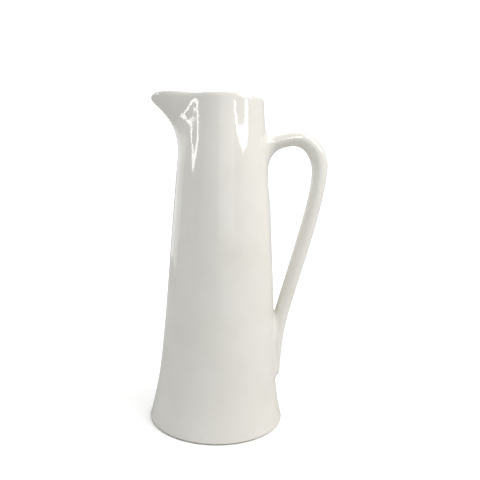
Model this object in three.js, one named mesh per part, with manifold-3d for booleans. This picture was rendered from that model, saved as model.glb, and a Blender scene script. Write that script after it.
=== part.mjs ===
// Ceramic pitcher: a tapering wall round a flat base slab, with a pulled spout and a pulled handle.
// Millimetres, +Z up. The origin is the centre of the base, on the table. The spout points to -X and
// the handle to +X. Every piece of clay is a solid of its own, with a thin gap where slip joins them.

import * as THREE from 'three';
import { mergeVertices } from 'three/addons/utils/BufferGeometryUtils.js';
import Module from 'manifold-3d';

const wasm = await Module();
wasm.setup();

// ---- Driving dimensions ----

const height = 280; // table to rim
const wall = 5; // thickness of the wall, the spout and the rim
const slipGap = 0.3; // slip between two pieces of clay

// Outside of the wall, from the table up
const footRadius = 59.2;
const footFlare = -0.27; // change of radius per millimetre of height, at the foot
const skirtHeight = 60; // where the flare of the foot ends
const skirtRadius = 49.8;
const neckLength = 70; // from the rim down to where the taper steepens
const shoulderRadius = 40.6;
const rimRadius = 33;
const rimFlare = -0.03; // change of radius per millimetre of height, at the rim
const skirtRoll = 0.9; // rounding of the skirt's bottom edge

// Base
const skirtLift = 1.2; // the skirt ends this far above the table, on which the slab rests
const baseThickness = 8;
const baseChamfer = 0.8;
const coilLeg = 9; // how far the coil reaches along the base and up the wall
const coilEdge = 0.8; // thickness of its thin edges

// Spout
const spoutReach = 37.6; // how far its lip stands out from the rim
const spoutDepth = 65; // from the rim down to where it leaves the wall
const spoutCurl = 2.9; // power of the curve in which it turns outward
const spoutSpread = 0.38; // half of its angular width, in radians
const lipRise = 1; // its sides rise this far above the rim
const lipDroop = 4.6; // its tip falls this far below them
const spoutSeamTop = 23; // half width of the spout's piece at the rim
const spoutSeamBottom = 11; // half width at its lower end

// Handle
const handleThickness = 12.8; // seen from the side
const handleWidth = 17; // seen from behind
const rootDrop = 39.5; // from the rim down to the middle of the root
const archDrop = 31.8; // from the rim down to the middle of the handle at its highest
const archReach = 61; // how far from the axis that is
const bendDrop = 58; // from the rim down to where the handle stands out furthest
const bendReach = 83.2;
const crotchHeight = 103; // where the handle comes down on the wall
const crotchStandOff = 10.2; // its centre line's distance from the wall there
const crotchLean = 0.25; // how far it leans out there, per millimetre of height
const tailHeight = 43; // centre of the handle's rounded end
const tailSink = 1; // how far the centre of that end lies inside the wall's surface

// Luted joints
const rootFilletLength = 14; // along the handle
const rootFilletTop = 4;
const rootFilletSide = 6.5;
const rootFilletUnder = 14;
const rootFilletCurl = 2.5; // power of the curve in which it spreads on the wall
const crotchFilletRise = 6.4; // how far the clay in the crotch stands off the wall
const crotchFilletSide = 5.4; // half width of that clay
const tailFilletRise = 3.8;
const tailFilletSide = 3.5; // beside the tail and below its end
const filletEdge = 0.9; // least stand-off of a fillet over the handle

// Fineness of the facets
const columns = 54; // around the vessel
const spoutCrowding = 0.45; // how much closer together they are at the spout
const lowerRows = 9; // from the skirt to the spout
const upperRows = 8; // from the spout to the lip
const lipFacets = 4;
const lipFollow = 8; // power that keeps the lip's rise and fall to the rows near the rim
const handleSteps = 30;
const handleFacets = 16;
const ringFacets = 48;

// ---- Shared shape of the vessel ----

const taper = (shoulderRadius - skirtRadius) / (height - neckLength - skirtHeight);
const stations = [
  { z: 0, radius: footRadius, slope: footFlare },
  { z: skirtHeight, radius: skirtRadius, slope: taper },
  { z: height - neckLength, radius: shoulderRadius, slope: taper },
  { z: height, radius: rimRadius, slope: rimFlare },
];

// Radius of the wall's outside at a height, away from the spout: smooth curves between the stations.
function wallRadius(z) {
  const above = stations.findIndex((station) => z < station.z);
  const upper = stations[above < 0 ? stations.length - 1 : Math.max(above, 1)];
  const lower = stations[stations.indexOf(upper) - 1];
  const span = upper.z - lower.z;
  const t = (z - lower.z) / span;
  const fromLower = (1 + 2 * t) * lower.radius + t * span * lower.slope;
  const fromUpper = (3 - 2 * t) * upper.radius + (t - 1) * span * upper.slope;
  return (1 - t) ** 2 * fromLower + t ** 2 * fromUpper;
}

// How much of the spout there is at an angle: 1 on its middle line, fading to 0 beside it.
function spoutShare(angle) {
  const fromSpout = Math.PI - Math.abs(angle);
  return Math.exp(-((fromSpout / spoutSpread) ** 2));
}

function outsidePoint(angle, z) {
  const climb = THREE.MathUtils.clamp((z - height + spoutDepth) / spoutDepth, 0, 1.1);
  const radius = wallRadius(z) + spoutReach * climb ** spoutCurl * spoutShare(angle);
  return new THREE.Vector3(radius * Math.cos(angle), radius * Math.sin(angle), z);
}

// The way up along the surface, and the way out of it, at a point of the outside.
function outsideFrame(angle, z) {
  const step = 0.01;
  const up = outsidePoint(angle, z + step).sub(outsidePoint(angle, z - step)).normalize();
  const around = outsidePoint(angle + step, z).sub(outsidePoint(angle - step, z));
  return { up, out: around.cross(up).normalize() };
}

function lipHeight(angle) {
  const share = spoutShare(angle);
  return height + 4 * lipRise * share * (1 - share) - lipDroop * share ** 3;
}

// A point at a depth under the outside. The rows near the rim follow the lip as it rises and falls.
function shellPoint(angle, row, depth) {
  const z = row + (lipHeight(angle) - height) * (row / height) ** lipFollow;
  return outsidePoint(angle, z).addScaledVector(outsideFrame(angle, z).out, -depth);
}

// Radius of the wall's inside at a height below the spout.
function boreRadius(z) {
  let outsideZ = z;
  let inner = shellPoint(0, z, wall);
  for (let pass = 0; pass < 4; pass += 1) {
    outsideZ += z - inner.z;
    inner = shellPoint(0, outsideZ, wall);
  }
  return inner.x;
}

const evenly = (from, to, count) =>
  Array.from({ length: count }, (_, index) => from + ((to - from) * index) / (count - 1));

// Angles around the vessel, starting at the spout and closest together there.
const vesselAngles = Array.from({ length: columns }, (_, index) => {
  const turn = (index / columns) * 2 * Math.PI - Math.PI;
  return turn + spoutCrowding * Math.sin(turn) * (1 - 0.35 * Math.cos(turn));
});

const topRow = height - wall / 2;
const vesselRows = [
  ...evenly(skirtLift + skirtRoll, height - spoutDepth, lowerRows),
  ...evenly(height - spoutDepth, topRow, upperRows).slice(1),
];

// ---- Meshes and solids ----

// A closed mesh through rings of points. The ends are capped, or joined where the rings close on
// themselves.
function ringMesh(rings, closesOnItself = false) {
  const size = rings[0].length;
  const points = rings.flat();
  const faces = [];
  const bands = closesOnItself ? rings.length : rings.length - 1;
  for (let band = 0; band < bands; band += 1) {
    const next = (band + 1) % rings.length;
    for (let column = 0; column < size; column += 1) {
      const beside = (column + 1) % size;
      const a = band * size + column;
      const b = band * size + beside;
      const c = next * size + beside;
      const d = next * size + column;
      faces.push(a, b, c, a, c, d);
    }
  }
  if (!closesOnItself) {
    for (const ring of [0, rings.length - 1]) {
      const middle = points.length;
      const centre = new THREE.Vector3();
      rings[ring].forEach((point) => centre.addScaledVector(point, 1 / size));
      points.push(centre);
      for (let column = 0; column < size; column += 1) {
        const here = ring * size + column;
        const beside = ring * size + ((column + 1) % size);
        faces.push(middle, ...(ring === 0 ? [beside, here] : [here, beside]));
      }
    }
  }
  const geometry = new THREE.BufferGeometry().setFromPoints(points);
  geometry.setIndex(faces);
  return geometry;
}

function solidOf(geometry) {
  const bare = geometry.clone();
  bare.deleteAttribute('normal');
  bare.deleteAttribute('uv');
  const merged = mergeVertices(bare, 1e-4);
  return new wasm.Manifold(
    new wasm.Mesh({
      numProp: 3,
      vertProperties: new Float32Array(merged.attributes.position.array),
      triVerts: new Uint32Array(merged.index.array),
    }),
  );
}

function geometryOf(solid) {
  const { vertProperties, triVerts } = solid.getMesh();
  const geometry = new THREE.BufferGeometry();
  geometry.setAttribute('position', new THREE.BufferAttribute(vertProperties, 3));
  geometry.setIndex(new THREE.BufferAttribute(triVerts, 1));
  geometry.computeVertexNormals();
  return geometry;
}

// A ring or disc turned about Z from an outline of [radius, height] pairs.
function turned(outline) {
  const profile = outline.map(([radius, z]) => new THREE.Vector2(radius, z));
  const geometry = new THREE.LatheGeometry(profile, ringFacets);
  geometry.rotateX(Math.PI / 2);
  return geometry;
}

// ---- Vessel ----

const vesselRing = (row, depth) => vesselAngles.map((angle) => shellPoint(angle, row, depth));

// The rim is half round: rings that turn from the outside over to the inside.
function lipRings() {
  const turns = evenly(0, Math.PI, lipFacets + 1).slice(1, -1);
  return turns.map((turn) =>
    vesselAngles.map((angle) => {
      const lift = (wall / 2) * Math.sin(turn);
      const depth = (wall / 2) * (1 - Math.cos(turn));
      const { up } = outsideFrame(angle, lipHeight(angle) - wall / 2);
      return shellPoint(angle, topRow, depth).addScaledVector(up, lift);
    }),
  );
}

function skirtRings() {
  const lowest = (depth) =>
    vesselAngles.map((angle) => shellPoint(angle, skirtLift + skirtRoll, depth).setZ(skirtLift));
  return [lowest(wall), lowest(skirtRoll)];
}

function makeShell() {
  const outside = vesselRows.map((row) => vesselRing(row, 0));
  const inside = vesselRows.map((row) => vesselRing(row, wall)).reverse();
  return solidOf(ringMesh([...skirtRings(), ...outside, ...lipRings(), ...inside], true));
}

// Everything inside the vessel's outside, grown by a gap, to cut what fits against the wall.
const vesselBlock = solidOf(ringMesh(vesselRows.map((row) => vesselRing(row, -slipGap))));

// The hollow of the vessel less a gap, facet for facet, to trim what fits into it. It reaches down
// past the table, because the slab fills the open foot of the wall.
function makeBoreBlock() {
  const rings = vesselRows.slice(0, lowerRows).map((row) => vesselRing(row, wall + slipGap));
  const below = rings[0].map((point) => point.clone().setZ(-baseThickness));
  return solidOf(ringMesh([below, ...rings]));
}

const boreBlock = makeBoreBlock();

// The piece of wall that is the spout lies inside this wedge, round at its lower end.
function spoutWedge(growth) {
  const top = height + 3 * wall;
  const roundCentre = height - spoutDepth + spoutSeamBottom;
  const side = spoutSeamTop + growth;
  const outline = new THREE.Shape();
  outline.moveTo(side, height);
  outline.lineTo(side, top);
  outline.lineTo(-side, top);
  outline.lineTo(-side, height);
  outline.absarc(0, roundCentre, spoutSeamBottom + growth, Math.PI, 2 * Math.PI, false);
  outline.closePath();
  const depth = rimRadius + 2 * spoutReach;
  const wedge = new THREE.ExtrudeGeometry(outline, { depth, bevelEnabled: false, curveSegments: 8 });
  wedge.rotateX(Math.PI / 2);
  wedge.rotateZ(-Math.PI / 2);
  return solidOf(wedge);
}

const shell = makeShell();
const bodyWall = geometryOf(shell.subtract(spoutWedge(slipGap)));
const spout = geometryOf(shell.intersect(spoutWedge(0)));

// ---- Base slab and coil ----

// Both are turned wider than the hollow and then trimmed to it.
const fitted = (outline) => geometryOf(solidOf(turned(outline)).intersect(boreBlock));

function makeBaseSlab() {
  const flat = boreRadius(skirtLift) - slipGap - baseChamfer;
  return fitted([
    [0, 0],
    [flat, 0],
    [flat + baseThickness, baseThickness],
    [0, baseThickness],
  ]);
}

// The coil is smeared into the corner between wall and base, so its free side is a hollow quarter
// of a circle between two thin edges.
function makeCornerCoil() {
  const bottom = baseThickness + slipGap;
  const top = bottom + coilEdge + coilLeg;
  const inner = boreRadius(top) - slipGap - coilEdge - coilLeg;
  const hollow = evenly(Math.PI / 2, 0, 7).map((turn) => [
    inner + coilLeg * Math.sin(turn),
    top - coilLeg * Math.cos(turn),
  ]);
  return fitted([
    [inner, bottom],
    [footRadius, bottom],
    [footRadius, top],
    ...hollow,
    [inner, bottom],
  ]);
}

// ---- Handle and its luted joints ----

const besideAxis = (x, z) => new THREE.Vector3(x, 0, z);

// Centre line: out of the wall, over the arch, down past the bend and along the wall to the tail.
function makeHandlePath() {
  const root = besideAxis(wallRadius(height - rootDrop) - wall / 2, height - rootDrop);
  const arch = besideAxis(archReach, height - archDrop);
  const bend = besideAxis(bendReach, height - bendDrop);
  const crotch = besideAxis(wallRadius(crotchHeight) + crotchStandOff, crotchHeight);
  const tail = besideAxis(wallRadius(tailHeight) - tailSink, tailHeight);
  const along = (from, x, z) => from.clone().add(besideAxis(x, z));
  const quarter = 0.5523; // share of a quarter turn's sides that makes a curve round
  const drop = bend.z - crotch.z;
  const leaveBend = 0.22 * drop;
  const nearCrotch = 0.37 * drop;
  const settle = (crotchHeight - tailHeight) / 3;
  const path = new THREE.CurvePath();
  path.add(
    new THREE.QuadraticBezierCurve3(root, besideAxis((root.x + 2 * arch.x) / 3, arch.z), arch),
  );
  path.add(
    new THREE.CubicBezierCurve3(
      arch,
      along(arch, quarter * (bend.x - arch.x), 0),
      along(bend, 0, quarter * (arch.z - bend.z)),
      bend,
    ),
  );
  path.add(
    new THREE.CubicBezierCurve3(
      bend,
      along(bend, 0, -leaveBend),
      along(crotch, crotchLean * nearCrotch, nearCrotch),
      crotch,
    ),
  );
  path.add(
    new THREE.CubicBezierCurve3(
      crotch,
      along(crotch, -crotchLean * settle, -settle),
      along(tail, 0, settle),
      tail,
    ),
  );
  return path;
}

// One ring of a tube: an oval whose outer, inner and side half sizes are given.
function ovalRing(centre, direction, { outer, inner, side }) {
  const away = new THREE.Vector3(-direction.z, 0, direction.x);
  const across = new THREE.Vector3().crossVectors(direction, away);
  return evenly(0, 2 * Math.PI, handleFacets + 1).slice(0, -1).map((turn) => {
    const rise = Math.cos(turn) * (Math.cos(turn) > 0 ? outer : inner);
    return centre.clone().addScaledVector(away, rise).addScaledVector(across, Math.sin(turn) * side);
  });
}

// A tube along a path with a rounded far end. sizeAt gives the half sizes at a share of the way.
function roundedTube(path, steps, endRadius, sizeAt) {
  const rings = evenly(0, 1, steps + 1).map((share) =>
    ovalRing(path.getPoint(share), path.getTangent(share).normalize(), sizeAt(share)),
  );
  const end = path.getPoint(1);
  const direction = path.getTangent(1).normalize();
  const last = sizeAt(1);
  const caps = [0.35, 0.65, 0.87].map((share) => {
    const shrink = Math.sqrt(1 - share * share);
    const size = { outer: last.outer * shrink, inner: last.inner * shrink, side: last.side * shrink };
    return ovalRing(end.clone().addScaledVector(direction, endRadius * share), direction, size);
  });
  return solidOf(ringMesh([...rings, ...caps]));
}

const handlePath = makeHandlePath();

function handleTube(growth) {
  const half = handleThickness / 2 + growth;
  const size = { outer: half, inner: half, side: handleWidth / 2 + growth };
  return roundedTube(handlePath, handleSteps, half, () => size);
}

// A trumpet of clay round the handle's root, widest on the wall and deepest underneath.
function makeUpperJoint() {
  const share = (wall + rootFilletLength) / handlePath.getLength();
  const root = new THREE.CatmullRomCurve3(evenly(0, share, 7).map((at) => handlePath.getPoint(at)));
  const half = handleThickness / 2;
  const flare = (at, most) => filletEdge + (most - filletEdge) * (1 - at) ** rootFilletCurl;
  const trumpet = roundedTube(root, 9, filletEdge, (at) => ({
    outer: half + flare(at, rootFilletTop),
    inner: half + flare(at, rootFilletUnder),
    side: handleWidth / 2 + flare(at, rootFilletSide),
  }));
  return geometryOf(trumpet.subtract(vesselBlock).subtract(handleTube(slipGap)));
}

// Clay pressed in along both sides of the tail, round its end and into the crotch above it.
function makeLowerJoint() {
  const top = crotchHeight + 2;
  const onWall = evenly(top, tailHeight, 6).map((z) => besideAxis(wallRadius(z), z));
  const bed = new THREE.CatmullRomCurve3(onWall);
  const side = handleWidth / 2 + tailFilletSide;
  const widened = (at) => Math.min(1, 3 * at); // full width a third of the way down
  const joint = roundedTube(bed, 12, handleThickness / 2 + tailFilletSide, (at) => ({
    outer: THREE.MathUtils.lerp(crotchFilletRise, tailFilletRise, at),
    inner: wall / 2,
    side: THREE.MathUtils.lerp(crotchFilletSide, side, widened(at)),
  }));
  return geometryOf(joint.subtract(vesselBlock).subtract(handleTube(slipGap)));
}

// ---- The pitcher ----

const glaze = { color: 0xe9e8e1, roughness: 0.12, metalness: 0 };
const bareClay = { color: 0xd8cdb9, roughness: 0.85, metalness: 0 };

const pieces = [
  ['body_wall', bodyWall, glaze],
  ['spout', spout, glaze],
  ['handle', geometryOf(handleTube(0).subtract(vesselBlock)), glaze],
  ['upper_handle_joint', makeUpperJoint(), glaze],
  ['lower_handle_joint', makeLowerJoint(), glaze],
  ['base_slab', makeBaseSlab(), bareClay],
  ['corner_coil', makeCornerCoil(), glaze],
];

const group = new THREE.Group();
for (const [name, geometry, finish] of pieces) {
  const mesh = new THREE.Mesh(geometry, new THREE.MeshStandardMaterial(finish));
  mesh.name = name;
  group.add(mesh);
}

export default group;
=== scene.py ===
import math

import bpy
import numpy as np
from mathutils import Matrix, Vector


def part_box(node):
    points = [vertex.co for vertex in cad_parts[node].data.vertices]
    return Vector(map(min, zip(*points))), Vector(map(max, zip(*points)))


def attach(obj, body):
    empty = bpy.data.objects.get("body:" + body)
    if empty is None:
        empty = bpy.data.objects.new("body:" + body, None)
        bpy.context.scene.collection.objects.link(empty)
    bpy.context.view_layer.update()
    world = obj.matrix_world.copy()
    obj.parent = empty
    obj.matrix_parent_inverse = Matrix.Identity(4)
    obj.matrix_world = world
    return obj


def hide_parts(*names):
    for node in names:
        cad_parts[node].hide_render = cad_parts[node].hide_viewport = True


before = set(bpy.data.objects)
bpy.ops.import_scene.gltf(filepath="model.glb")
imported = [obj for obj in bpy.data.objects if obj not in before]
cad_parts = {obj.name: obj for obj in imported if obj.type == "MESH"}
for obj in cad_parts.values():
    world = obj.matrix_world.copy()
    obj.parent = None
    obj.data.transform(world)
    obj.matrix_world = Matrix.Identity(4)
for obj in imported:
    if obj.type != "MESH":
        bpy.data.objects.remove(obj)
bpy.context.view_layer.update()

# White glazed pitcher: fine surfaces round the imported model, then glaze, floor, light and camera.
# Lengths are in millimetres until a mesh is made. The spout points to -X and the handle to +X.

mm = 0.001


def boxOf(node):
    low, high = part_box(node)
    return np.array(low) / mm, np.array(high) / mm


wallLow, wallHigh = boxOf("body_wall")
spoutLow = boxOf("spout")[0]
handleLow, handleHigh = boxOf("handle")
slabLow, slabHigh = boxOf("base_slab")
coilHigh = boxOf("corner_coil")[1]
print("frame loaded:", len(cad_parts), "nodes")


vessel = {
    "wall": 5.0,
    "rimHeight": 280.0,
    "footSpread": 0.5,  # its flare, carried down to the table, is this much wider than its widest ring
    "footFlare": -0.27,  # change of radius per millimetre of height, at the foot
    "skirt": (60.0, 49.8),  # height and radius where the flare of the foot ends
    "shoulder": (210.0, 40.6),  # height and radius where the taper steepens
    "rimRadius": 33.0,
    "rimFlare": -0.03,
    "skirtRoll": 0.8,  # rounding of the bottom edge
    "skirtBevel": 0.4,  # and of its inner edge
    "lipOutside": 4.4,  # the rim rounds over from this far below its top
    "lipInside": 2.6,
    "rowStep": 2.2,  # fineness of the mesh
    "spoutRowShare": 0.8,  # rows at the spout are this much closer
    "lipSteps": 16,  # over the rim
    "rollSteps": 5,
    "sideColumns": 132,
}

spout = {
    "spread": 0.38,  # half of its angular width, in radians
    "curl": 2.9,  # power of the curve in which it turns outward
    "reach": 37.6,  # how far its lip stands out from the rim
    "lipRise": 1.0,  # its sides rise this far above the rim
    "lipDroop": 4.6,
    "lipThinning": 0.34,  # share of the wall's thickness that it loses at the tip
    "lipFollow": 8,  # keeps the lip's rise and fall to the rows near the rim
    "seamTop": 23.0,  # half width of the piece at the rim
    "seamBottom": 9.0,
    "seamCurve": 0.8,
    "columns": 28,  # on each side of its middle
}

# What throwing and a hand leave on the clay
handMarks = {
    "ringPitch": 8.5,  # throwing rings climb by this much a turn
    "ringDepth": 0.02,
    "ringFade": (0.6, 0.4, 23.0),  # share always there, share that comes and goes, and over what height
    "trueBelow": 25.0,  # the foot sits true on its wheel
    # depth, waves round the vessel, height of one wave, shift
    "swells": [(0.55, 1, 280.0, 2.47), (0.22, 2, 310.0, 0.6), (0.10, 3, 170.0, 2.2),
               (0.06, 5, 96.0, 4.1), (0.035, 8, 61.0, 1.3)],
    # degrees round from the spout, height, radius, depth; the last one is a thumb's, under the handle
    "dents": [(91.0, 56.0, 9.0, 0.16), (121.0, 73.0, 8.0, 0.13), (70.0, 150.0, 14.0, 0.10),
              (180.0, 209.0, 13.0, 1.6)],
}

footRadius = float(wallHigh[1]) + vessel["footSpread"]
stationHeights = np.array([0.0, vessel["skirt"][0], vessel["shoulder"][0], vessel["rimHeight"]])
stationRadii = np.array([footRadius, vessel["skirt"][1], vessel["shoulder"][1], vessel["rimRadius"]])
taper = (stationRadii[2] - stationRadii[1]) / (stationHeights[2] - stationHeights[1])
stationSlopes = np.array([vessel["footFlare"], taper, taper, vessel["rimFlare"]])
spoutBottom = float(spoutLow[2])
skirtLift = float(wallLow[2])


def wallRadius(z):
    # outside of the wall without spout or hand marks: smooth curves between the stations
    z = np.asarray(z, float)
    span = np.clip(np.searchsorted(stationHeights, z, side="right") - 1, 0, 2)
    low, high = stationHeights[span], stationHeights[span + 1]
    t = (z - low) / (high - low)
    fromLow = (1 + 2 * t) * stationRadii[span] + t * (high - low) * stationSlopes[span]
    fromHigh = (3 - 2 * t) * stationRadii[span + 1] + (t - 1) * (high - low) * stationSlopes[span + 1]
    return (1 - t) ** 2 * fromLow + t**2 * fromHigh


def spoutShare(turn):
    # 1 on the spout's middle line; turn is the angle from it
    turn = (turn + math.pi) % (2 * math.pi) - math.pi
    return np.exp(-((turn / spout["spread"]) ** 2))


def handWork(turn, z):
    depth = handMarks["ringDepth"] * np.sin(2 * math.pi * z / handMarks["ringPitch"] + turn)
    steady, fading, over = handMarks["ringFade"]
    depth = depth * (steady + fading * np.sin(z / over + 2 * turn))
    for swell, waves, rise, shift in handMarks["swells"]:
        depth = depth + swell * np.sin(waves * turn + 2 * math.pi * z / rise + shift)
    for degrees, height, radius, dent in handMarks["dents"]:
        aside = ((turn - math.radians(degrees) + math.pi) % (2 * math.pi) - math.pi) * wallRadius(height)
        depth = depth - dent * np.exp(-(aside**2 + (z - height) ** 2) / radius**2)
    return depth * np.clip(z / handMarks["trueBelow"], 0, 1)


def outside(turn, z):
    # the spout's share of its height goes on past 1, because its lip rises above the rim
    climb = np.clip((z - spoutBottom) / (vessel["rimHeight"] - spoutBottom), 0, 1.1)
    radius = wallRadius(z) + handWork(turn, z) + spout["reach"] * climb ** spout["curl"] * spoutShare(turn)
    return np.stack([-radius * np.cos(turn), -radius * np.sin(turn), z + 0 * turn], -1)


def unit(vectors):
    return vectors / np.linalg.norm(vectors, axis=-1, keepdims=True)


def outsideNormal(turn, z, step=0.01):
    up = outside(turn, z + step) - outside(turn, z - step)
    around = outside(turn + step, z) - outside(turn - step, z)
    return unit(np.cross(around, up))


def shellPoint(turn, row, depth):
    # a point at a depth under the outside; rows near the rim follow the lip up and down
    share = spoutShare(turn)
    lip = 4 * spout["lipRise"] * share * (1 - share) - spout["lipDroop"] * share**3
    nearRim = (row / vessel["rimHeight"]) ** spout["lipFollow"]
    z = row + lip * nearRim
    depth = depth * (1 - spout["lipThinning"] * share * nearRim)
    return outside(turn, z) - np.asarray(depth)[..., None] * outsideNormal(turn, z)


def aboveWall(points):
    # how far points stand out from the wall, measured level
    turn = np.arctan2(-points[..., 1], -points[..., 0])
    here = outside(turn, points[..., 2])
    return np.hypot(points[..., 0], points[..., 1]) - np.hypot(here[..., 0], here[..., 1])


def ontoWall(points, sink=0.0):
    # the wall's surface level with each point, with its normal
    turn = np.arctan2(-points[..., 1], -points[..., 0])
    normal = outsideNormal(turn, points[..., 2])
    return outside(turn, points[..., 2]) - sink * normal, normal


def gridNormals(points, faces):
    # smooth normals of a quad mesh, weighted by area
    corners = points[faces]
    facing = np.cross(corners[:, 2] - corners[:, 0], corners[:, 3] - corners[:, 1])
    normals = np.zeros_like(points)
    for corner in range(4):
        np.add.at(normals, faces[:, corner], facing)
    return unit(normals)


def ringFaces(rings, columns, closed=True):
    # quads between rings of points; the last ring joins the first if closed
    last = rings if closed else rings - 1
    ring, column = np.meshgrid(np.arange(last), np.arange(columns), indexing="ij")
    above, beside = (ring + 1) % rings, (column + 1) % columns
    quads = np.stack([ring * columns + column, ring * columns + beside,
                      above * columns + beside, above * columns + column], -1)
    return quads.reshape(-1, 4)


def makePiece(name, points, smooth, normals, flat=(), replaces=()):
    # smooth faces take the given point normals, flat ones their own; only used points are kept
    faces = [tuple(f) for f in smooth] + [tuple(f) for f in flat]
    used = np.unique(np.concatenate([np.asarray(f) for f in faces]))
    place = np.full(len(points), -1)
    place[used] = np.arange(len(used))
    faces = [tuple(int(place[v]) for v in f) for f in faces]
    mesh = bpy.data.meshes.new(name)
    mesh.from_pydata((points[used] * mm).tolist(), [], faces)
    mesh.polygons.foreach_set("use_smooth", [True] * len(faces))
    kept = normals[used]
    corner = []
    for index, face in enumerate(faces):
        if index < len(smooth):
            corner.extend(kept[v] for v in face)
        else:
            corner.extend([np.array(mesh.polygons[index].normal)] * len(face))
    mesh.normals_split_custom_set([tuple(n) for n in corner])
    mesh.update()
    piece = bpy.data.objects.new(name, mesh)
    bpy.context.scene.collection.objects.link(piece)
    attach(piece, "root")
    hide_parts(*replaces)
    print("made", name, len(mesh.vertices), "points")
    return piece


def vesselColumns(rows):
    # angles from the spout for each row; columns -n and +n of the spout run along its seam
    climb = np.clip((rows - spoutBottom) / (vessel["rimHeight"] - spoutBottom), 0, 1)
    halfWidth = spout["seamBottom"] + (spout["seamTop"] - spout["seamBottom"]) * climb ** spout["seamCurve"]
    seam = np.arcsin(halfWidth / wallRadius(rows))
    for _ in range(6):
        around = outside(seam, rows)
        seam = np.arcsin(halfWidth / np.hypot(around[:, 0], around[:, 1]))
    n = spout["columns"]
    inSpout = np.linspace(-1, 1, 2 * n + 1)[None, :] * seam[:, None]
    beside = np.linspace(0, 1, vessel["sideColumns"] + 1)[1:-1]
    around = seam[:, None] + beside[None, :] * (2 * math.pi - 2 * seam[:, None])
    return np.concatenate([inSpout, around], 1)


def makeVessel():
    top = vessel["rimHeight"]
    wall = vessel["wall"]
    count = round((spoutBottom - skirtLift) / vessel["rowStep"])
    lower = np.linspace(skirtLift + vessel["skirtRoll"], spoutBottom, count)
    count = round((top - spoutBottom) / (vessel["spoutRowShare"] * vessel["rowStep"]))
    upper = np.linspace(spoutBottom, top - vessel["lipOutside"], count)[1:]
    rows = np.concatenate([lower, upper])
    first = len(lower) - 1  # the row on which the spout's piece begins

    rings, columns = [], vesselColumns(rows)
    for row, turn in zip(rows, columns):
        rings.append(shellPoint(turn, row, 0.0))
    lipColumns = columns[-1]
    lipTurns = np.linspace(0, math.pi, vessel["lipSteps"] + 1)[1:-1]
    for t in lipTurns:
        fall = (vessel["lipOutside"] if t < math.pi / 2 else vessel["lipInside"]) * (1 - math.sin(t))
        rings.append(shellPoint(lipColumns, top - fall, wall / 2 * (1 - math.cos(t))))
    insideRows = rows.copy()
    insideRows[first:] = np.linspace(rows[first], top - vessel["lipInside"], len(rows) - first)
    for row, turn in zip(insideRows[::-1], columns[::-1]):
        rings.append(shellPoint(turn, row, wall))

    # round both edges of the skirt's underside
    roll = vessel["skirtRoll"]
    foot = shellPoint(columns[0], rows[0], 0.0)
    outward = unit(foot * [1, 1, 0])
    inner = np.hypot(rings[-1][:, 0], rings[-1][:, 1])
    outer = np.hypot(foot[:, 0], foot[:, 1])

    def skirtRing(radius, z):
        return outward * radius[:, None] + [0, 0, z]

    low, bevel = skirtLift, vessel["skirtBevel"]
    rings.append(skirtRing(inner, low + bevel))
    rings.append(skirtRing(inner + bevel, low))
    rings.append(skirtRing((inner + outer) / 2, low))
    for t in np.linspace(0, math.pi / 2, vessel["rollSteps"] + 1)[:-1]:
        rings.append(skirtRing(outer - roll + roll * math.sin(t), low + roll - roll * math.cos(t)))

    points = np.array(rings)
    ringCount, columnCount = points.shape[:2]
    points = points.reshape(-1, 3)
    faces = ringFaces(ringCount, columnCount)
    normals = gridNormals(points, faces)

    last = 2 * len(rows) + len(lipTurns) - 1 - first  # the ring inside, level with the first
    ring, column = faces[:, 0] // columnCount, faces[:, 0] % columnCount
    inSpout = (ring >= first) & (ring < last) & (column < 2 * spout["columns"])

    def at(ringIndex, columnIndex):
        return ringIndex * columnCount + columnIndex

    seam = []  # cut faces of the spout's piece, through the wall
    edge = 2 * spout["columns"]
    for column in range(edge):
        seam.append((at(first, column), at(last, column), at(last, column + 1), at(first, column + 1)))
    for step in range((last - first) // 2):
        a, b = first + step, last - step
        near = [at(a, 0), at(a + 1, 0), at(b - 1, 0), at(b, 0)]
        far = [at(b, edge), at(b - 1, edge), at(a + 1, edge), at(a, edge)]
        for quad in (near, far):
            seam.append(tuple(dict.fromkeys(quad)))
    seamFromWall = [tuple(reversed(f)) for f in seam]
    wallPiece = makePiece("thrownWall", points, faces[~inSpout], normals, seamFromWall, ["body_wall"])
    spoutPiece = makePiece("pulledSpout", points, faces[inSpout], normals, seam, ["spout"])
    return wallPiece, spoutPiece


base = {
    "edge": 0.9,  # rounding of the slab's lower edge
    "edgeSteps": 6,
    "intoWall": 0.3,  # its upper edge runs this far into the wall
    "topBevel": (0.4, 0.2),  # and is cut off by this much across and down
    "turningPitch": 2.6,  # rings left underneath where the slab was turned flat
    "turningDepth": 0.05,
    "turningRim": (6.0, 8.0),  # plain rim round them, and how far in they take to reach their depth
    "flatRim": 4.0,  # the underside's rings stop this far from the foot's edge
    "swirl": 0.35,  # height of the finger's spiral on the inside
    "swirlPitch": 13.0,
    "swirlFade": (12.0, 9.0, 10.0),  # it fades in over this from the middle, and out before the wall
    "sag": 0.4,  # its middle lies this much lower
    "innermost": 0.6,  # radius of the first ring of the mesh
    "ringsBelow": 76,
    "ringsInside": 60,
    "columns": 128,
    "boreAngle": 1.7,  # radians round from the spout to where the hollow is measured, at the front
    "wiped": 0.25,  # the glaze is wiped off the skirt's lowest ring up to here
    "coilSink": 0.5,  # the coil's edges run this far into wall and slab
    "coilEdge": 0.8,  # thickness of its feathered edges
    "coilDip": 0.1,  # its hollow side ends this far under the slab's surface
    "coilRise": 0.2,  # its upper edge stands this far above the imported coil's
    "coilToe": 0.3,  # its lower edge reaches this far past the hollow side
    "coilSteps": 17,
    "coilWaves": [(0.12, 5, 1.1), (0.08, 11, 0.0)],  # height, waves round it, shift
}


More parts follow.
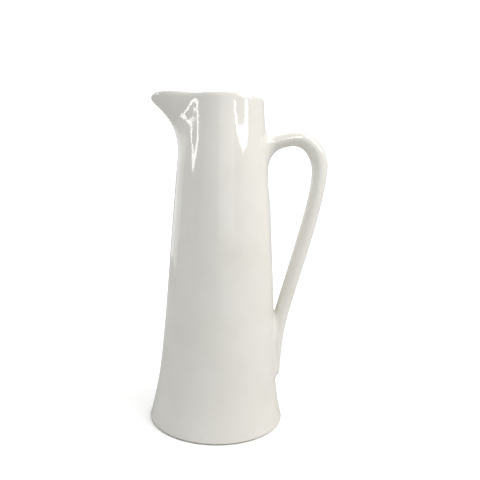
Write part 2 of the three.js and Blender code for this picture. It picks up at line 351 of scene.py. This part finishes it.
def boreRadius(z):
    # radius of the hollow at a height in the skirt
    rows = np.linspace(skirtLift, vessel["skirt"][0], 120)
    inner = shellPoint(np.full(len(rows), base["boreAngle"]), rows, vessel["wall"])
    return np.interp(z, inner[:, 2], np.hypot(inner[:, 0], inner[:, 1]))


def turned(outline, columns):
    # a ring of points at each (radius, height); height may depend on the angle
    turns = np.linspace(0, 2 * math.pi, columns, endpoint=False)
    rings = []
    for radius, height in outline:
        z = height(radius, turns) if callable(height) else np.full(columns, float(height))
        rings.append(np.stack([radius * np.cos(turns), radius * np.sin(turns), z], -1))
    return np.array(rings)


def makeBase():
    top, bottom = float(slabHigh[2]), float(slabLow[2])
    radius = boreRadius(top) + base["intoWall"]
    footEdge = boreRadius(skirtLift)
    edge = base["edge"]
    plain, fadeIn = base["turningRim"]
    fromMiddle, wallRim, toWall = base["swirlFade"]
    across, down = base["topBevel"]

    def underside(r, turns):
        dip = base["turningDepth"] * (0.5 - 0.5 * math.cos(2 * math.pi * r / base["turningPitch"]))
        return bottom + dip * min(max((footEdge - plain - r) / fadeIn, 0), 1) + 0 * turns

    def inside(r, turns):
        fade = min(r / fromMiddle, 1) * min(max((radius - wallRim - r) / toWall, 0), 1)
        spiral = base["swirl"] * fade * np.cos(2 * math.pi * r / base["swirlPitch"] - turns)
        return top + spiral - base["sag"] * (1 - r / radius)

    flatEdge = footEdge - base["flatRim"]
    outline = [(r, underside) for r in np.linspace(base["innermost"], flatEdge, base["ringsBelow"])]
    for t in np.linspace(0, math.pi / 2, base["edgeSteps"]):
        outline.append((footEdge - edge + edge * math.sin(t), bottom + edge - edge * math.cos(t)))
    outline.append((radius, top - down))
    outline += [(r, inside) for r in np.linspace(radius - across, base["innermost"], base["ringsInside"])]
    rings = turned(outline, base["columns"])
    count, columns = rings.shape[:2]
    points = rings.reshape(-1, 3)
    points = np.concatenate([points, [[0, 0, rings[0, :, 2].mean()], [0, 0, rings[-1, :, 2].mean()]]])
    faces = ringFaces(count, columns, closed=False)
    caps = []
    for column in range(columns):
        beside = (column + 1) % columns
        caps.append((len(points) - 2, beside, column))
        start = (count - 1) * columns
        caps.append((len(points) - 1, start + column, start + beside))
    normals = gridNormals(points, faces)
    normals[-2:] = [[0, 0, -1], [0, 0, 1]]
    every = [tuple(f) for f in faces] + caps
    return makePiece("baseSlab", points, every, normals, (), ["base_slab"])


def makeCoil():
    bottom, top = float(slabHigh[2]), float(coilHigh[2])
    sink, edge = base["coilSink"], base["coilEdge"]
    leg = top - bottom - edge
    outer = boreRadius(top)
    centre = outer - leg - edge / 2
    wide, deep = leg + sink, leg + edge + base["coilDip"]
    outline = [(boreRadius(bottom) + sink, bottom - sink), (outer + sink, top + base["coilRise"])]
    for t in np.linspace(math.pi / 2, 0, base["coilSteps"]):
        outline.append((centre + wide * math.sin(t), top - deep * math.cos(t)))
    outline.append((centre - base["coilToe"], bottom - sink))

    def wavy(radius, height):
        def z(r, turns):
            return height + sum(rise * np.sin(n * turns + shift) for rise, n, shift in base["coilWaves"])
        return radius, z

    rings = turned([wavy(r, z) for r, z in outline], base["columns"])
    points = rings.reshape(-1, 3)
    faces = ringFaces(rings.shape[0], rings.shape[1])
    return makePiece("cornerCoil", points, faces, gridNormals(points, faces), (), ["corner_coil"])


handle = {
    "rootDrop": 39.5,  # from the rim down to the middle of the root
    "rootSink": 2.5,  # the root lies this far inside the wall
    "crotchHeight": 103.0,  # where it comes down on the wall
    "crotchStandOff": 10.2,
    "crotchLean": 0.25,
    "tailSink": 1.0,
    "halfThickness": 6.4,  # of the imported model's handle, between its box and its centre line
    "archReach": 61.0,
    "rootLength": 4.0,  # its line starts this far before the root, inside the wall
    "bendDrop": 58.0,
    "leaveBend": 0.22,  # it keeps its line past the bend for this share of the drop to the crotch
    "nearCrotch": 0.37,  # and takes its new one this share before the crotch
    # thickness seen from the side and width seen from behind, at even shares of the way
    "thickness": [13.2, 12.4, 14.3, 12.2, 12.3, 12.4, 12.4, 12.3, 12.3, 12.2],
    "width": [19.0, 17.6, 17.0, 17.0, 16.8, 16.6, 16.6, 16.9, 17.4, 17.6],
    "sway": (0.35, 31.0, 0.8, 40.0),  # it strays sideways by this, over what length, shift, from where
    "endLength": 8.0,  # of the rounded end of the tail
    "endSteps": 13,
    "smoothing": 1.5,
    "steps": 240,
    "facets": 72,
    "buried": 2.6,  # the hidden side stops this far inside the wall
}


def bezier(points, count=160):
    t = np.linspace(0, 1, count)[:, None]
    line = np.array(points, float)
    order = len(line) - 1
    return sum(math.comb(order, k) * t**k * (1 - t) ** (order - k) * line[k] for k in range(order + 1))


def handleLine():
    # centre line in the XZ plane: root, arch, bend, crotch, tail
    half = handle["halfThickness"]
    rim = vessel["rimHeight"]
    rootHeight = rim - handle["rootDrop"]
    root = np.array([wallRadius(rootHeight) - handle["rootSink"], rootHeight])
    arch = np.array([handle["archReach"], handleHigh[2] - half])
    bend = np.array([handleHigh[0] - half, rim - handle["bendDrop"]])
    crotchHeight = handle["crotchHeight"]
    crotch = np.array([wallRadius(crotchHeight) + handle["crotchStandOff"], crotchHeight])
    tailHeight = float(handleLow[2]) + half
    tail = np.array([wallRadius(tailHeight) - handle["tailSink"], tailHeight])
    quarter = 0.5523  # share of a quarter turn's sides that makes a curve round
    drop = bend[1] - crotch[1]
    lean = handle["crotchLean"]
    leave, settleIn = handle["leaveBend"], handle["nearCrotch"] * drop
    settle = (crotchHeight - tailHeight) / 3
    spans = [
        [root, [(root[0] + 2 * arch[0]) / 3, arch[1]], arch],
        [arch, arch + [quarter * (bend[0] - arch[0]), 0], bend + [0, quarter * (arch[1] - bend[1])], bend],
        [bend, bend - [0, leave * drop], crotch + [lean * settleIn, settleIn], crotch],
        [crotch, crotch - [lean * settle, settle], tail + [0, settle], tail],
    ]
    line = np.concatenate([bezier(span)[(0 if k == 0 else 1):] for k, span in enumerate(spans)])
    inWall = line[0] - unit(line[1] - line[0]) * handle["rootLength"]
    line = np.concatenate([[inWall], line])
    along = np.concatenate([[0], np.cumsum(np.linalg.norm(np.diff(line, axis=0), axis=1))])
    return line, along


handleCurve, handleAlong = handleLine()
handleLength = float(handleAlong[-1])


def softly(x, xs, ys):
    # smooth curve through even control values
    xs, ys = np.asarray(xs, float), np.asarray(ys, float)
    slopes = np.gradient(ys, xs)
    k = np.clip(np.searchsorted(xs, x, side="right") - 1, 0, len(xs) - 2)
    span = xs[k + 1] - xs[k]
    t = np.clip((x - xs[k]) / span, 0, 1)
    low = (1 + 2 * t) * ys[k] + t * span * slopes[k]
    high = (3 - 2 * t) * ys[k + 1] + (t - 1) * span * slopes[k + 1]
    return (1 - t) ** 2 * low + t**2 * high


def handleFrame(s):
    # centre, direction and half sizes of the handle at a length s along it; past its end it rounds off
    s = np.asarray(s, float)
    past = np.clip(s - handleLength, 0, handle["endLength"]) / handle["endLength"]
    on = np.clip(s, 0, handleLength)
    step = handle["smoothing"]
    ahead, behind = np.clip(on + step, 0, handleLength), np.clip(on - step, 0, handleLength)

    def at(where):
        return np.stack([np.interp(where, handleAlong, handleCurve[:, k]) for k in (0, 1)], -1)

    centre = (at(ahead) + 2 * at(on) + at(behind)) / 4
    centre = np.where((on > step)[..., None] & (on < handleLength - step)[..., None], centre, at(on))
    direction = unit(at(ahead) - at(behind))
    swing = past * math.pi / 2
    centre = centre + direction * (handle["endLength"] * np.sin(swing))[..., None]
    shares = np.linspace(0, handleLength, len(handle["thickness"]))
    half = softly(on, shares, handle["thickness"]) / 2 * np.cos(swing)
    side = softly(on, shares, handle["width"]) / 2 * np.cos(swing)
    return centre, direction, half, side


def handlePoint(s, turn):
    # turn 0 is the outer side, half a turn the side towards the wall
    centre, direction, half, side = handleFrame(s)
    out = np.stack([-direction[..., 1], direction[..., 0]], -1)
    rise = np.cos(turn) * half
    x = centre[..., 0] + out[..., 0] * rise
    z = centre[..., 1] + out[..., 1] * rise
    stray, over, shift, start = handle["sway"]
    sway = stray * np.sin(s / over + shift) * np.clip(s / start, 0, 1)
    y = np.sin(turn) * side + sway + 0 * z
    return np.stack([x, y, z], -1)


def handleNormal(s, turn, step=0.02):
    s = np.clip(s, step, handleLength + handle["endLength"] - step)
    along = handlePoint(s + step, turn) - handlePoint(s - step, turn)
    around = handlePoint(s, turn + step) - handlePoint(s, turn - step)
    return unit(np.cross(along, around))


def makeHandle():
    steps, facets = handle["steps"], handle["facets"]
    ends = np.sin(np.linspace(0, 1, handle["endSteps"] + 1)[1:-1] * math.pi / 2)
    total = handleLength + handle["endLength"]
    rounded = handleLength + handle["endLength"] * 2 / math.pi * np.arcsin(ends)
    s = np.concatenate([np.linspace(0, handleLength, steps), rounded])
    turns = np.linspace(0, 2 * math.pi, facets, endpoint=False)
    grid = handlePoint(s[:, None], turns[None, :])
    normals = handleNormal(np.repeat(s[:, None], facets, 1), np.repeat(turns[None, :], len(s), 0))
    points = grid.reshape(-1, 3)
    normals = normals.reshape(-1, 3)
    caps = [grid[0].mean(0), handlePoint(np.array(total), np.array(0.0))]
    points = np.concatenate([points, caps])
    normals = np.concatenate([normals, [[-1, 0, 0], [0, 0, -1]]])
    deep = aboveWall(points) < -handle["buried"]
    sunk, _ = ontoWall(points, handle["buried"])
    points = np.where(deep[:, None], sunk, points)
    faces = ringFaces(len(s), facets, closed=False)[:, ::-1]
    close = []
    last = (len(s) - 1) * facets
    for k in range(facets):
        beside = (k + 1) % facets
        close.append((len(points) - 2, k, beside))
        close.append((len(points) - 1, last + beside, last + k))
    every = [tuple(f) for f in faces] + close
    return makePiece("pulledHandle", points, every, normals, (), ["handle"])


joints = {
    # reach on the wall and on the handle, above, beside and below
    "root": {"wall": (6.0, 8.0, 14.0), "handle": (7.0, 10.0, 15.0)},
    "tail": {"wall": (9.0, 4.0, 4.0), "handle": (9.0, 2.6, 2.6)},
    "hollow": 0.62,  # how far the fillet's curve leans into the corner
    "dip": 0.05,  # its edges run this far under the surfaces they meet
    "depth": 1.4,  # thickness of the hidden clay under those surfaces
    "cornerShare": 1.2,  # times that in the corner
    "hiddenSteps": (0.3, 0.6, 1.0),
    "melt": (0.16, 1.5),  # share of its width that shades into the surface beside it, and how fast
    "rootWithin": 40.0,  # the handle leaves the wall within this length
    "tailPast": 0.55,  # and meets it again past this share of its own
    "searchSteps": (720, 900),  # round the handle and along it
    "columns": 168,
    "across": 18,
}


def meetingLine(which):
    # where the handle's surface goes through the wall, as (s, turn) at even steps round the joint
    aroundSteps, alongSteps = joints["searchSteps"]
    turns = np.linspace(0, 2 * math.pi, aroundSteps + 1)
    end = handleLength + handle["endLength"] * 0.999  # just short of the tip, where every turn meets
    reach = (0, joints["rootWithin"]) if which == "root" else (handleLength * joints["tailPast"], end)
    s = np.linspace(*reach, alongSteps)
    height = aboveWall(handlePoint(s[:, None], turns[None, :]))
    if which == "root":
        crossing = np.argmax(height > 0, axis=0)
    else:
        crossing = len(s) - np.argmax(height[::-1] > 0, axis=0)
    crossing = np.clip(crossing, 1, len(s) - 1)
    every = np.arange(len(turns))
    before, after = height[crossing - 1, every], height[crossing, every]
    share = before / (before - after)
    at = s[crossing - 1] + share * (s[1] - s[0])
    line = handlePoint(at, turns)
    along = np.concatenate([[0], np.cumsum(np.linalg.norm(np.diff(line, axis=0), axis=1))])
    even = np.linspace(0, along[-1], joints["columns"], endpoint=False)
    return np.interp(even, along, at), np.interp(even, along, turns)


def ontoHandle(points, near, sink=0.0):
    # the handle's surface nearest to each point; near is a length along it to start from
    s = near.copy()
    for _ in range(12):  # creep along the handle, 4 mm at a time at most
        centre, direction, half, side = handleFrame(np.minimum(s, handleLength))
        offset = points[:, [0, 2]] - centre
        s = s + np.clip((offset * direction).sum(-1), -4, 4)
        s = np.clip(s, 0, handleLength + handle["endLength"])
        s = np.where(s > handleLength, handleLength, s)
    centre, direction, half, side = handleFrame(s)
    out = np.stack([-direction[:, 1], direction[:, 0]], -1)
    offset = points[:, [0, 2]] - centre
    past = np.clip((offset * direction).sum(-1), 0, None) * (s >= handleLength - 1e-6)
    rise = (offset * out).sum(-1) / half
    aside = points[:, 1] / side
    swing = np.arctan2(past / handle["endLength"], np.hypot(rise, aside))
    turn = np.arctan2(aside, rise)
    s = np.where(past > 0, handleLength + handle["endLength"] * swing / (math.pi / 2), s)
    normal = handleNormal(s, turn)
    return handlePoint(s, turn) - sink * normal, normal, s


def makeJoint(name, which, replaces):
    s, turn = meetingLine(which)
    corner = handlePoint(s, turn)
    _, wallNormal = ontoWall(corner)
    alongHandle = handleNormal(s, turn)
    tangent = np.roll(corner, -1, 0) - np.roll(corner, 1, 0)
    for _ in range(2):
        tangent = (np.roll(tangent, -1, 0) + 2 * tangent + np.roll(tangent, 1, 0)) / 4
    tangent = unit(tangent)
    wallWay = np.cross(wallNormal, tangent)
    wallWay = unit(wallWay * np.sign((wallWay * alongHandle).sum(-1))[:, None])
    handleWay = np.cross(alongHandle, tangent)
    handleWay = unit(handleWay * np.sign((handleWay * wallNormal).sum(-1))[:, None])

    middle = corner.mean(0)
    around = np.arctan2(corner[:, 1], corner[:, 2] - middle[2])
    above, below = np.clip(np.cos(around), 0, 1) ** 2, np.clip(-np.cos(around), 0, 1) ** 2
    size = joints[which]

    def reachOf(sizes):
        reach = sizes[1] + (sizes[0] - sizes[1]) * above + (sizes[2] - sizes[1]) * below
        for _ in range(6):
            reach = (np.roll(reach, -1) + 2 * reach + np.roll(reach, 1)) / 4
        return reach

    onWallReach, onHandleReach = reachOf(size["wall"]), reachOf(size["handle"])
    dip, depth = joints["dip"], joints["depth"]
    wallEdge, wallEdgeNormal = ontoWall(corner + wallWay * onWallReach[:, None])
    handleEdge, handleEdgeNormal, _ = ontoHandle(corner + handleWay * onHandleReach[:, None], s)

    def inPlane(way, normal):
        return unit(way - normal * (way * normal).sum(-1, keepdims=True))

    lean = joints["hollow"]
    fromWall = wallEdge + inPlane(-wallWay, wallEdgeNormal) * (lean * onWallReach)[:, None]
    fromHandle = handleEdge + inPlane(-handleWay, handleEdgeNormal) * (lean * onHandleReach)[:, None]
    sunkWall, sunkHandle = wallEdge - dip * wallEdgeNormal, handleEdge - dip * handleEdgeNormal
    rings = []
    ts = np.linspace(0, 1, joints["across"])
    for t in ts:
        rings.append((1 - t) ** 3 * sunkHandle + 3 * t * (1 - t) ** 2 * fromHandle
                     + 3 * t**2 * (1 - t) * fromWall + t**3 * sunkWall)
    for share in joints["hiddenSteps"][::-1]:  # the hidden side, under the wall and then the handle
        place, _ = ontoWall(corner + wallWay * (onWallReach * share)[:, None], depth)
        rings.append(place)
    rings.append(corner - unit(wallNormal + alongHandle) * depth * joints["cornerShare"])
    for share in joints["hiddenSteps"]:
        place, _, _ = ontoHandle(corner + handleWay * (onHandleReach * share)[:, None], s, depth)
        rings.append(place)
    points = np.array(rings)
    ringCount, columns = points.shape[:2]
    points = points.reshape(-1, 3)
    faces = ringFaces(ringCount, columns)
    normals = gridNormals(points, faces)
    shown = normals.reshape(ringCount, columns, 3)[joints["across"] // 2]
    if (shown * (wallNormal + alongHandle)).sum() < 0:
        faces, normals = faces[:, ::-1], -normals
    normals = normals.reshape(ringCount, columns, 3)
    melt, haste = joints["melt"]
    for k, t in enumerate(ts):  # the edges take the normals of the surfaces they melt into
        toHandle, toWall = max(0, 1 - t / melt) ** haste, max(0, 1 - (1 - t) / melt) ** haste
        own = normals[k] * (1 - toHandle - toWall)
        normals[k] = unit(own + handleEdgeNormal * toHandle + wallEdgeNormal * toWall)
    return makePiece(name, points, faces, normals.reshape(-1, 3), (), replaces)


def linear(hexColour):
    # sRGB hex to the linear values a shader takes
    parts = [int(hexColour[k:k + 2], 16) / 255 for k in (1, 3, 5)]
    return tuple(p / 12.92 if p <= 0.04045 else ((p + 0.055) / 1.055) ** 2.4 for p in parts) + (1.0,)


def addNode(tree, kind, inputs=None, **settings):
    # one node with its settings; an input is a value or another node's output
    node = tree.nodes.new(kind)
    for name, value in settings.items():
        setattr(node, name, value)
    for name, value in (inputs or {}).items():
        if isinstance(value, bpy.types.NodeSocket):
            tree.links.new(value, node.inputs[name])
        else:
            node.inputs[name].default_value = value
    return node


def newMaterial(name):
    material = bpy.data.materials.new(name)
    material.use_nodes = True
    material.node_tree.nodes.clear()
    return material, material.node_tree


glaze = {
    "colour": "#ebeae5",
    "cloud": "#e5e4dd",  # where it lies a little thicker
    "clouds": 45.0,  # mm across
    "cloudEdges": (0.35, 0.68),
    "speck": "#b3a68c",
    "specks": 9.0,  # mm apart
    "speckSize": (0.022, 0.045),  # where they begin and stop to fade, as shares of that
    "speckShare": 0.3,  # how strongly they show
    "roughness": (0.05, 0.10),
    "smear": 22.0,  # mm across the patches where it shines a little less
    "ior": 1.52,
    "ripple": 7.0,  # mm across
    "rippleDepth": 0.02,
    "peel": 1.6,
    "peelDepth": 0.0015,
}


def glazedEarthenware():
    # White tin-rich glaze fired over earthenware: a wet, mirror-like skin that ripples very slightly,
    # over a soft warm white that is never quite even.
    material, tree = newMaterial("glazedEarthenware")
    place = addNode(tree, "ShaderNodeTexCoord").outputs["Object"]
    clouds = addNode(tree, "ShaderNodeTexNoise", {
        "Vector": place, "Scale": 1000 / glaze["clouds"], "Detail": 3.0, "Roughness": 0.55})
    clear, cloudy = glaze["cloudEdges"]
    tone = addNode(tree, "ShaderNodeMapRange", {
        "Value": clouds.outputs["Fac"], "From Min": clear, "From Max": cloudy})
    colour = addNode(tree, "ShaderNodeMix", {
        "Factor": tone.outputs["Result"], "A": linear(glaze["colour"]), "B": linear(glaze["cloud"])},
        data_type="RGBA")
    specks = addNode(tree, "ShaderNodeTexVoronoi", {"Vector": place, "Scale": 1000 / glaze["specks"]})
    core, halo = glaze["speckSize"]
    dot = addNode(tree, "ShaderNodeMapRange", {
        "Value": specks.outputs["Distance"], "From Min": core, "From Max": halo,
        "To Min": glaze["speckShare"], "To Max": 0.0})
    speckled = addNode(tree, "ShaderNodeMix", {
        "Factor": dot.outputs["Result"], "A": colour.outputs["Result"], "B": linear(glaze["speck"])},
        data_type="RGBA")
    smear = addNode(tree, "ShaderNodeTexNoise", {
        "Vector": place, "Scale": 1000 / glaze["smear"], "Detail": 2.0})
    low, high = glaze["roughness"]
    rough = addNode(tree, "ShaderNodeMapRange", {
        "Value": smear.outputs["Fac"], "From Min": 0.3, "From Max": 0.7, "To Min": low, "To Max": high})
    ripple = addNode(tree, "ShaderNodeTexNoise", {
        "Vector": place, "Scale": 1000 / glaze["ripple"], "Detail": 1.0})
    peel = addNode(tree, "ShaderNodeTexNoise", {
        "Vector": place, "Scale": 1000 / glaze["peel"], "Detail": 0.0})
    wide = addNode(tree, "ShaderNodeBump", {
        "Height": ripple.outputs["Fac"], "Distance": glaze["rippleDepth"] * mm, "Strength": 1.0})
    fine = addNode(tree, "ShaderNodeBump", {
        "Height": peel.outputs["Fac"], "Distance": glaze["peelDepth"] * mm, "Strength": 1.0,
        "Normal": wide.outputs["Normal"]})
    shader = addNode(tree, "ShaderNodeBsdfPrincipled", {
        "Base Color": speckled.outputs["Result"], "Roughness": rough.outputs["Result"],
        "IOR": glaze["ior"], "Normal": fine.outputs["Normal"]})
    addNode(tree, "ShaderNodeOutputMaterial", {"Surface": shader.outputs["BSDF"]})
    return material


biscuit = {
    "colour": "#d3c6ad",
    "dark": "#bfae90",
    "grain": 0.9,  # mm across; real grog is finer, drawn this coarse so that it shows
    "patch": 26.0,
    "toneEdges": (0.7, 1.3),
    "grainDepth": 0.08,
    "roughness": 0.85,
}


def biscuitClay():
    # Bare fired clay, turned flat and sponged: dry, chalky, with a fine sandy grain.
    material, tree = newMaterial("biscuitClay")
    place = addNode(tree, "ShaderNodeTexCoord").outputs["Object"]
    grain = addNode(tree, "ShaderNodeTexNoise", {
        "Vector": place, "Scale": 1000 / biscuit["grain"], "Detail": 4.0, "Roughness": 0.65})
    patches = addNode(tree, "ShaderNodeTexNoise", {
        "Vector": place, "Scale": 1000 / biscuit["patch"], "Detail": 3.0})
    both = addNode(tree, "ShaderNodeMath", {0: grain.outputs["Fac"], 1: patches.outputs["Fac"]},
                   operation="ADD")
    darkest, lightest = biscuit["toneEdges"]
    tone = addNode(tree, "ShaderNodeMapRange", {
        "Value": both.outputs["Value"], "From Min": darkest, "From Max": lightest})
    colour = addNode(tree, "ShaderNodeMix", {
        "Factor": tone.outputs["Result"], "A": linear(biscuit["dark"]), "B": linear(biscuit["colour"])},
        data_type="RGBA")
    bump = addNode(tree, "ShaderNodeBump", {
        "Height": grain.outputs["Fac"], "Distance": biscuit["grainDepth"] * mm, "Strength": 1.0})
    shader = addNode(tree, "ShaderNodeBsdfPrincipled", {
        "Base Color": colour.outputs["Result"], "Roughness": biscuit["roughness"],
        "Normal": bump.outputs["Normal"]})
    addNode(tree, "ShaderNodeOutputMaterial", {"Surface": shader.outputs["BSDF"]})
    return material


paper = {
    "colour": "#fafbfa",
    "bounce": 0.55,  # share of the light that it gives back to the pitcher
    "shown": 1.25,
    "fibre": 2.5,  # mm across; real fibres are finer, drawn this coarse so that they show
    "mottle": 0.02,
}

studio = {
    "floorSide": 1.8,  # metres
    "floorDrop": 0.0001,  # a hair below the foot
    "backdrop": 1.2,  # white behind the floor's edge
    "air": 0.49,  # light from all round
    # name: place and target in metres, width, height, watts, colour
    "lamps": {
        "overhead": ((0.0, 0.0, 1.6), (0, 0, 0), 2.6, 2.6, 4.3, "#ffffff"),
        "overRight": ((0.9, -0.35, 1.1), (0, 0, 0.2), 0.9, 0.9, 11.4, "#fffaf5"),
        "overBack": ((0.1, 1.0, 1.2), (0, 0, 0.2), 1.2, 0.9, 7.5, "#ffffff"),
        "leftBack": ((-1.1, 1.0, 0.5), (0, 0, 0.14), 1.2, 1.2, 3.9, "#ffffff"),
        "leftSide": ((-1.4, -0.1, 0.5), (0, 0, 0.14), 1.2, 1.2, 1.4, "#ffffff"),
        "front": ((0.3, -1.6, 0.7), (0, 0, 0.14), 1.2, 1.2, 4.2, "#ffffff"),
    },
}

# Two windows, as the wet glaze shows them: bright shapes on a cylinder round the pitcher, which only
# reflections see. Each strip is a ladder of (height, from, to), in degrees to the right of the front.
windows = {
    "strength": 10.0,
    "colour": "#fffdf8",
    "rightRadius": 100.0,
    "right": [
        [(296, 19, 22), (290, 22.5, 26), (284.5, 26, 30), (278, 29, 34.5)],
        [(296, 49, 58.5), (289, 49, 58.5), (282, 47.5, 57), (277.5, 44.5, 56.5)],
        [(278, 29, 56.5), (269, 34, 55), (265, 39, 53), (258.5, 41, 49), (256, 43, 44.5)],
    ],
    "leftRadius": 190.0,
    "left": [
        [(316, -75.5, -71.5), (311, -80, -77), (306, -84, -81.5), (300, -87.5, -85), (293, -90.5, -87),
         (286, -89, -85), (280, -84, -80), (274, -81, -75.5), (264, -79, -69.5), (252, -75.5, -68.5),
         (237, -71, -70)],
        [(317, -75, -71.5), (310, -74, -69.5), (304, -72, -67), (296, -70, -64.5), (280, -70.5, -65),
         (266, -72.5, -66.5), (262, -75, -68)],
    ],
}


def makeWindow(name, radius, ladders):
    points, faces = [], []
    for ladder in ladders:
        for rung, (height, *sides) in enumerate(ladder):
            for side in sides:
                turn = math.radians(side)
                points.append((radius * math.sin(turn), -radius * math.cos(turn), height))
            if rung:
                last = len(points) - 1
                faces.append((last - 1, last, last - 2, last - 3))
    mesh = bpy.data.meshes.new(name)
    mesh.from_pydata([Vector(p) * mm for p in points], [], faces)
    pane = bpy.data.objects.new(name, mesh)
    bpy.context.scene.collection.objects.link(pane)
    pane.visible_camera = pane.visible_diffuse = pane.visible_shadow = False
    pane.visible_transmission = pane.visible_volume_scatter = False
    material, tree = newMaterial(name)
    glow = addNode(tree, "ShaderNodeEmission", {
        "Color": linear(windows["colour"]), "Strength": windows["strength"]})
    addNode(tree, "ShaderNodeOutputMaterial", {"Surface": glow.outputs["Emission"]})
    mesh.materials.append(material)


def addLamp(name, place, target, width, height, watts, colour):
    lamp = bpy.data.lights.new(name, "AREA")
    lamp.shape = "RECTANGLE"
    lamp.size, lamp.size_y = width, height
    lamp.energy = watts
    lamp.color = linear(colour)[:3]
    holder = bpy.data.objects.new(name, lamp)
    bpy.context.scene.collection.objects.link(holder)
    holder.location = place
    holder.rotation_euler = (Vector(place) - Vector(target)).to_track_quat("Z", "Y").to_euler()
    holder.visible_camera = False


def whitePaper():
    # Matt paper with a faint fibrous mottle. It is printed over-bright to the eye, as a product table is,
    # and throws less light back on the pitcher than it shows.
    material, tree = newMaterial("whitePaper")
    place = addNode(tree, "ShaderNodeTexCoord").outputs["Object"]
    fibre = addNode(tree, "ShaderNodeTexNoise", {
        "Vector": place, "Scale": 1000 / paper["fibre"], "Detail": 3.0, "Roughness": 0.6})
    tone = addNode(tree, "ShaderNodeMapRange", {
        "Value": fibre.outputs["Fac"], "From Min": 0.3, "From Max": 0.7,
        "To Min": 1 - paper["mottle"], "To Max": 1.0})
    path = addNode(tree, "ShaderNodeLightPath")
    shown = addNode(tree, "ShaderNodeMapRange", {
        "Value": path.outputs["Is Camera Ray"], "To Min": paper["bounce"], "To Max": paper["shown"]})
    strength = addNode(tree, "ShaderNodeMath", {0: tone.outputs["Result"], 1: shown.outputs["Result"]},
                       operation="MULTIPLY")
    colour = addNode(tree, "ShaderNodeVectorMath", {0: linear(paper["colour"])[:3]}, operation="SCALE")
    tree.links.new(strength.outputs["Value"], colour.inputs["Scale"])
    shader = addNode(tree, "ShaderNodeBsdfDiffuse", {"Color": colour.outputs["Vector"], "Roughness": 0.6})
    addNode(tree, "ShaderNodeOutputMaterial", {"Surface": shader.outputs["BSDF"]})
    return material


def makeStudio():
    side, under = studio["floorSide"] / 2, -studio["floorDrop"]
    mesh = bpy.data.meshes.new("paperFloor")
    corners = [(-side, -side, under), (side, -side, under), (side, side, under), (-side, side, under)]
    mesh.from_pydata(corners, [], [(0, 1, 2, 3)])
    floor = bpy.data.objects.new("paperFloor", mesh)
    bpy.context.scene.collection.objects.link(floor)
    mesh.materials.append(whitePaper())

    world = bpy.data.worlds.new("studioAir")
    world.use_nodes = True
    tree = world.node_tree
    tree.nodes.clear()
    path = addNode(tree, "ShaderNodeLightPath")
    strength = addNode(tree, "ShaderNodeMapRange", {
        "Value": path.outputs["Is Camera Ray"], "To Min": studio["air"], "To Max": studio["backdrop"]})
    sky = addNode(tree, "ShaderNodeBackground", {
        "Color": (1, 1, 1, 1), "Strength": strength.outputs["Result"]})
    addNode(tree, "ShaderNodeOutputWorld", {"Surface": sky.outputs["Background"]})
    bpy.context.scene.world = world
    for name, values in studio["lamps"].items():
        addLamp(name, *values)
    makeWindow("rightWindow", windows["rightRadius"], windows["right"])
    makeWindow("leftWindow", windows["leftRadius"], windows["left"])
    bpy.context.scene.view_settings.view_transform = "Standard"


view = {
    "place": (0.0, -0.440, 0.2099),
    "lens": 37.9,
    "sensor": 36.0,
    "clip": (0.01, 20.0),
    "yaw": 2.108,  # degrees to the right
    "pitch": 6.606,  # degrees down
    "roll": 1.981,
}


def makeCamera():
    camera = bpy.data.cameras.new("tableCamera")
    camera.lens, camera.sensor_width = view["lens"], view["sensor"]
    camera.clip_start, camera.clip_end = view["clip"]
    holder = bpy.data.objects.new("tableCamera", camera)
    bpy.context.scene.collection.objects.link(holder)
    turn = (Matrix.Rotation(-math.radians(view["yaw"]), 4, "Z")
            @ Matrix.Rotation(math.radians(90 - view["pitch"]), 4, "X")
            @ Matrix.Rotation(math.radians(view["roll"]), 4, "Z"))
    holder.matrix_world = Matrix.Translation(view["place"]) @ turn
    bpy.context.scene.camera = holder


pieces = [*makeVessel(), makeHandle(), makeCoil()]
pieces.append(makeJoint("upperJoint", "root", ["upper_handle_joint"]))
pieces.append(makeJoint("lowerJoint", "tail", ["lower_handle_joint"]))
slab = makeBase()

glazed, bare = glazedEarthenware(), biscuitClay()
for piece in pieces:
    piece.data.materials.append(glazed)
pieces[0].data.materials.append(bare)
for face in pieces[0].data.polygons:  # the ring under the skirt is wiped clean before firing
    if face.center.z < (skirtLift + base["wiped"]) * mm:
        face.material_index = 1
slab.data.materials.append(bare)
slab.data.materials.append(glazed)
for face in slab.data.polygons:
    face.material_index = 1 if face.center.z > 0.5 * slabHigh[2] * mm else 0
print("glaze and clay done")

makeStudio()
makeCamera()
print("studio and camera done")
